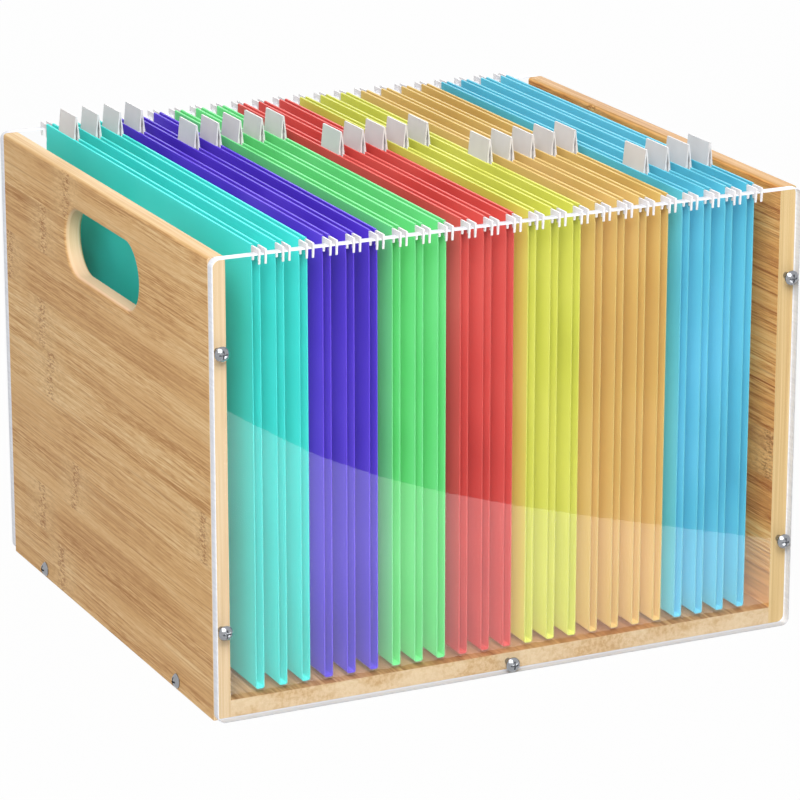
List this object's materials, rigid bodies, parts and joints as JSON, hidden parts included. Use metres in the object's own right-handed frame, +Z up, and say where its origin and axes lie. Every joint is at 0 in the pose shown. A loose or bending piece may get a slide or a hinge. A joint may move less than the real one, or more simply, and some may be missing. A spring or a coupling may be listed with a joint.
{
  "type": "file box",
  "caption": "Open-topped file box with bamboo sides and base, clear front and back panels that carry hanging folders, and a hand hole in each side.",
  "frame": {"origin": "middle of the underside, on the surface that the box stands on", "axes": "+X across the box from the left side panel to the right one, -Y to the front, +Z up"},
  "size_m": [0.3574, 0.3194, 0.2726],
  "materials": {
    "bamboo": "laminated bamboo, satin lacquer",
    "clear_acrylic": "clear, polished edges",
    "screw_steel": "bright plated",
    "white_plastic": "smooth white moulded",
    "teal_sheet": "smooth satin sheet",
    "violet_sheet": "smooth satin sheet",
    "green_sheet": "smooth satin sheet",
    "red_sheet": "smooth satin sheet",
    "yellow_sheet": "smooth satin sheet",
    "orange_sheet": "smooth satin sheet",
    "blue_sheet": "smooth satin sheet"
  },
  "bodies": {
    "box": {"left_side_panel": "bamboo", "right_side_panel": "bamboo", "base_panel": "bamboo", "front_acrylic_panel": "clear_acrylic", "back_acrylic_panel": "clear_acrylic", "front_panel_screws": "screw_steel", "back_panel_screws": "screw_steel", "left_base_screws": "screw_steel", "right_base_screws": "screw_steel"},
    "folder_01": {"folder_01_sleeve": "teal_sheet", "folder_01_rods_and_tab": "white_plastic"},
    "folder_02": {"folder_02_sleeve": "teal_sheet", "folder_02_rods_and_tab": "white_plastic"},
    "folder_03": {"folder_03_sleeve": "teal_sheet", "folder_03_rods_and_tab": "white_plastic"},
    "folder_04": {"folder_04_sleeve": "violet_sheet", "folder_04_rods_and_tab": "white_plastic"},
    "folder_05": {"folder_05_sleeve": "violet_sheet", "folder_05_rods_and_tab": "white_plastic"},
    "folder_06": {"folder_06_sleeve": "violet_sheet", "folder_06_rods_and_tab": "white_plastic"},
    "folder_07": {"folder_07_sleeve": "green_sheet", "folder_07_rods_and_tab": "white_plastic"},
    "folder_08": {"folder_08_sleeve": "green_sheet", "folder_08_rods_and_tab": "white_plastic"},
    "folder_09": {"folder_09_sleeve": "green_sheet", "folder_09_rods_and_tab": "white_plastic"},
    "folder_10": {"folder_10_sleeve": "red_sheet", "folder_10_rods_and_tab": "white_plastic"},
    "folder_11": {"folder_11_sleeve": "red_sheet", "folder_11_rods_and_tab": "white_plastic"},
    "folder_12": {"folder_12_sleeve": "red_sheet", "folder_12_rods_and_tab": "white_plastic"},
    "folder_13": {"folder_13_sleeve": "yellow_sheet", "folder_13_rods_and_tab": "white_plastic"},
    "folder_14": {"folder_14_sleeve": "yellow_sheet", "folder_14_rods_and_tab": "white_plastic"},
    "folder_15": {"folder_15_sleeve": "yellow_sheet", "folder_15_rods_and_tab": "white_plastic"},
    "folder_16": {"folder_16_sleeve": "orange_sheet", "folder_16_rods_and_tab": "white_plastic"},
    "folder_17": {"folder_17_sleeve": "orange_sheet", "folder_17_rods_and_tab": "white_plastic"},
    "folder_18": {"folder_18_sleeve": "orange_sheet", "folder_18_rods_and_tab": "white_plastic"},
    "folder_19": {"folder_19_sleeve": "orange_sheet", "folder_19_rods_and_tab": "white_plastic"},
    "folder_20": {"folder_20_sleeve": "blue_sheet", "folder_20_rods_and_tab": "white_plastic"},
    "folder_21": {"folder_21_sleeve": "blue_sheet", "folder_21_rods_and_tab": "white_plastic"},
    "folder_22": {"folder_22_sleeve": "blue_sheet", "folder_22_rods_and_tab": "white_plastic"},
    "folder_23": {"folder_23_sleeve": "blue_sheet", "folder_23_rods_and_tab": "white_plastic"}
  },
  "joints": [
    {"name": "folder_01_lift", "type": "slide", "parent": "box", "child": "folder_01", "axis": [0, 0, 1], "range_m": [0, 0.265]},
    {"name": "folder_02_lift", "type": "slide", "parent": "box", "child": "folder_02", "axis": [0, 0, 1], "range_m": [0, 0.265]},
    {"name": "folder_03_lift", "type": "slide", "parent": "box", "child": "folder_03", "axis": [0, 0, 1], "range_m": [0, 0.265]},
    {"name": "folder_04_lift", "type": "slide", "parent": "box", "child": "folder_04", "axis": [0, 0, 1], "range_m": [0, 0.265]},
    {"name": "folder_05_lift", "type": "slide", "parent": "box", "child": "folder_05", "axis": [0, 0, 1], "range_m": [0, 0.265]},
    {"name": "folder_06_lift", "type": "slide", "parent": "box", "child": "folder_06", "axis": [0, 0, 1], "range_m": [0, 0.265]},
    {"name": "folder_07_lift", "type": "slide", "parent": "box", "child": "folder_07", "axis": [0, 0, 1], "range_m": [0, 0.265]},
    {"name": "folder_08_lift", "type": "slide", "parent": "box", "child": "folder_08", "axis": [0, 0, 1], "range_m": [0, 0.265]},
    {"name": "folder_09_lift", "type": "slide", "parent": "box", "child": "folder_09", "axis": [0, 0, 1], "range_m": [0, 0.265]},
    {"name": "folder_10_lift", "type": "slide", "parent": "box", "child": "folder_10", "axis": [0, 0, 1], "range_m": [0, 0.265]},
    {"name": "folder_11_lift", "type": "slide", "parent": "box", "child": "folder_11", "axis": [0, 0, 1], "range_m": [0, 0.265]},
    {"name": "folder_12_lift", "type": "slide", "parent": "box", "child": "folder_12", "axis": [0, 0, 1], "range_m": [0, 0.265]},
    {"name": "folder_13_lift", "type": "slide", "parent": "box", "child": "folder_13", "axis": [0, 0, 1], "range_m": [0, 0.265]},
    {"name": "folder_14_lift", "type": "slide", "parent": "box", "child": "folder_14", "axis": [0, 0, 1], "range_m": [0, 0.265]},
    {"name": "folder_15_lift", "type": "slide", "parent": "box", "child": "folder_15", "axis": [0, 0, 1], "range_m": [0, 0.265]},
    {"name": "folder_16_lift", "type": "slide", "parent": "box", "child": "folder_16", "axis": [0, 0, 1], "range_m": [0, 0.265]},
    {"name": "folder_17_lift", "type": "slide", "parent": "box", "child": "folder_17", "axis": [0, 0, 1], "range_m": [0, 0.265]},
    {"name": "folder_18_lift", "type": "slide", "parent": "box", "child": "folder_18", "axis": [0, 0, 1], "range_m": [0, 0.265]},
    {"name": "folder_19_lift", "type": "slide", "parent": "box", "child": "folder_19", "axis": [0, 0, 1], "range_m": [0, 0.265]},
    {"name": "folder_20_lift", "type": "slide", "parent": "box", "child": "folder_20", "axis": [0, 0, 1], "range_m": [0, 0.265]},
    {"name": "folder_21_lift", "type": "slide", "parent": "box", "child": "folder_21", "axis": [0, 0, 1], "range_m": [0, 0.265]},
    {"name": "folder_22_lift", "type": "slide", "parent": "box", "child": "folder_22", "axis": [0, 0, 1], "range_m": [0, 0.265]},
    {"name": "folder_23_lift", "type": "slide", "parent": "box", "child": "folder_23", "axis": [0, 0, 1], "range_m": [0, 0.265]}
  ]
}
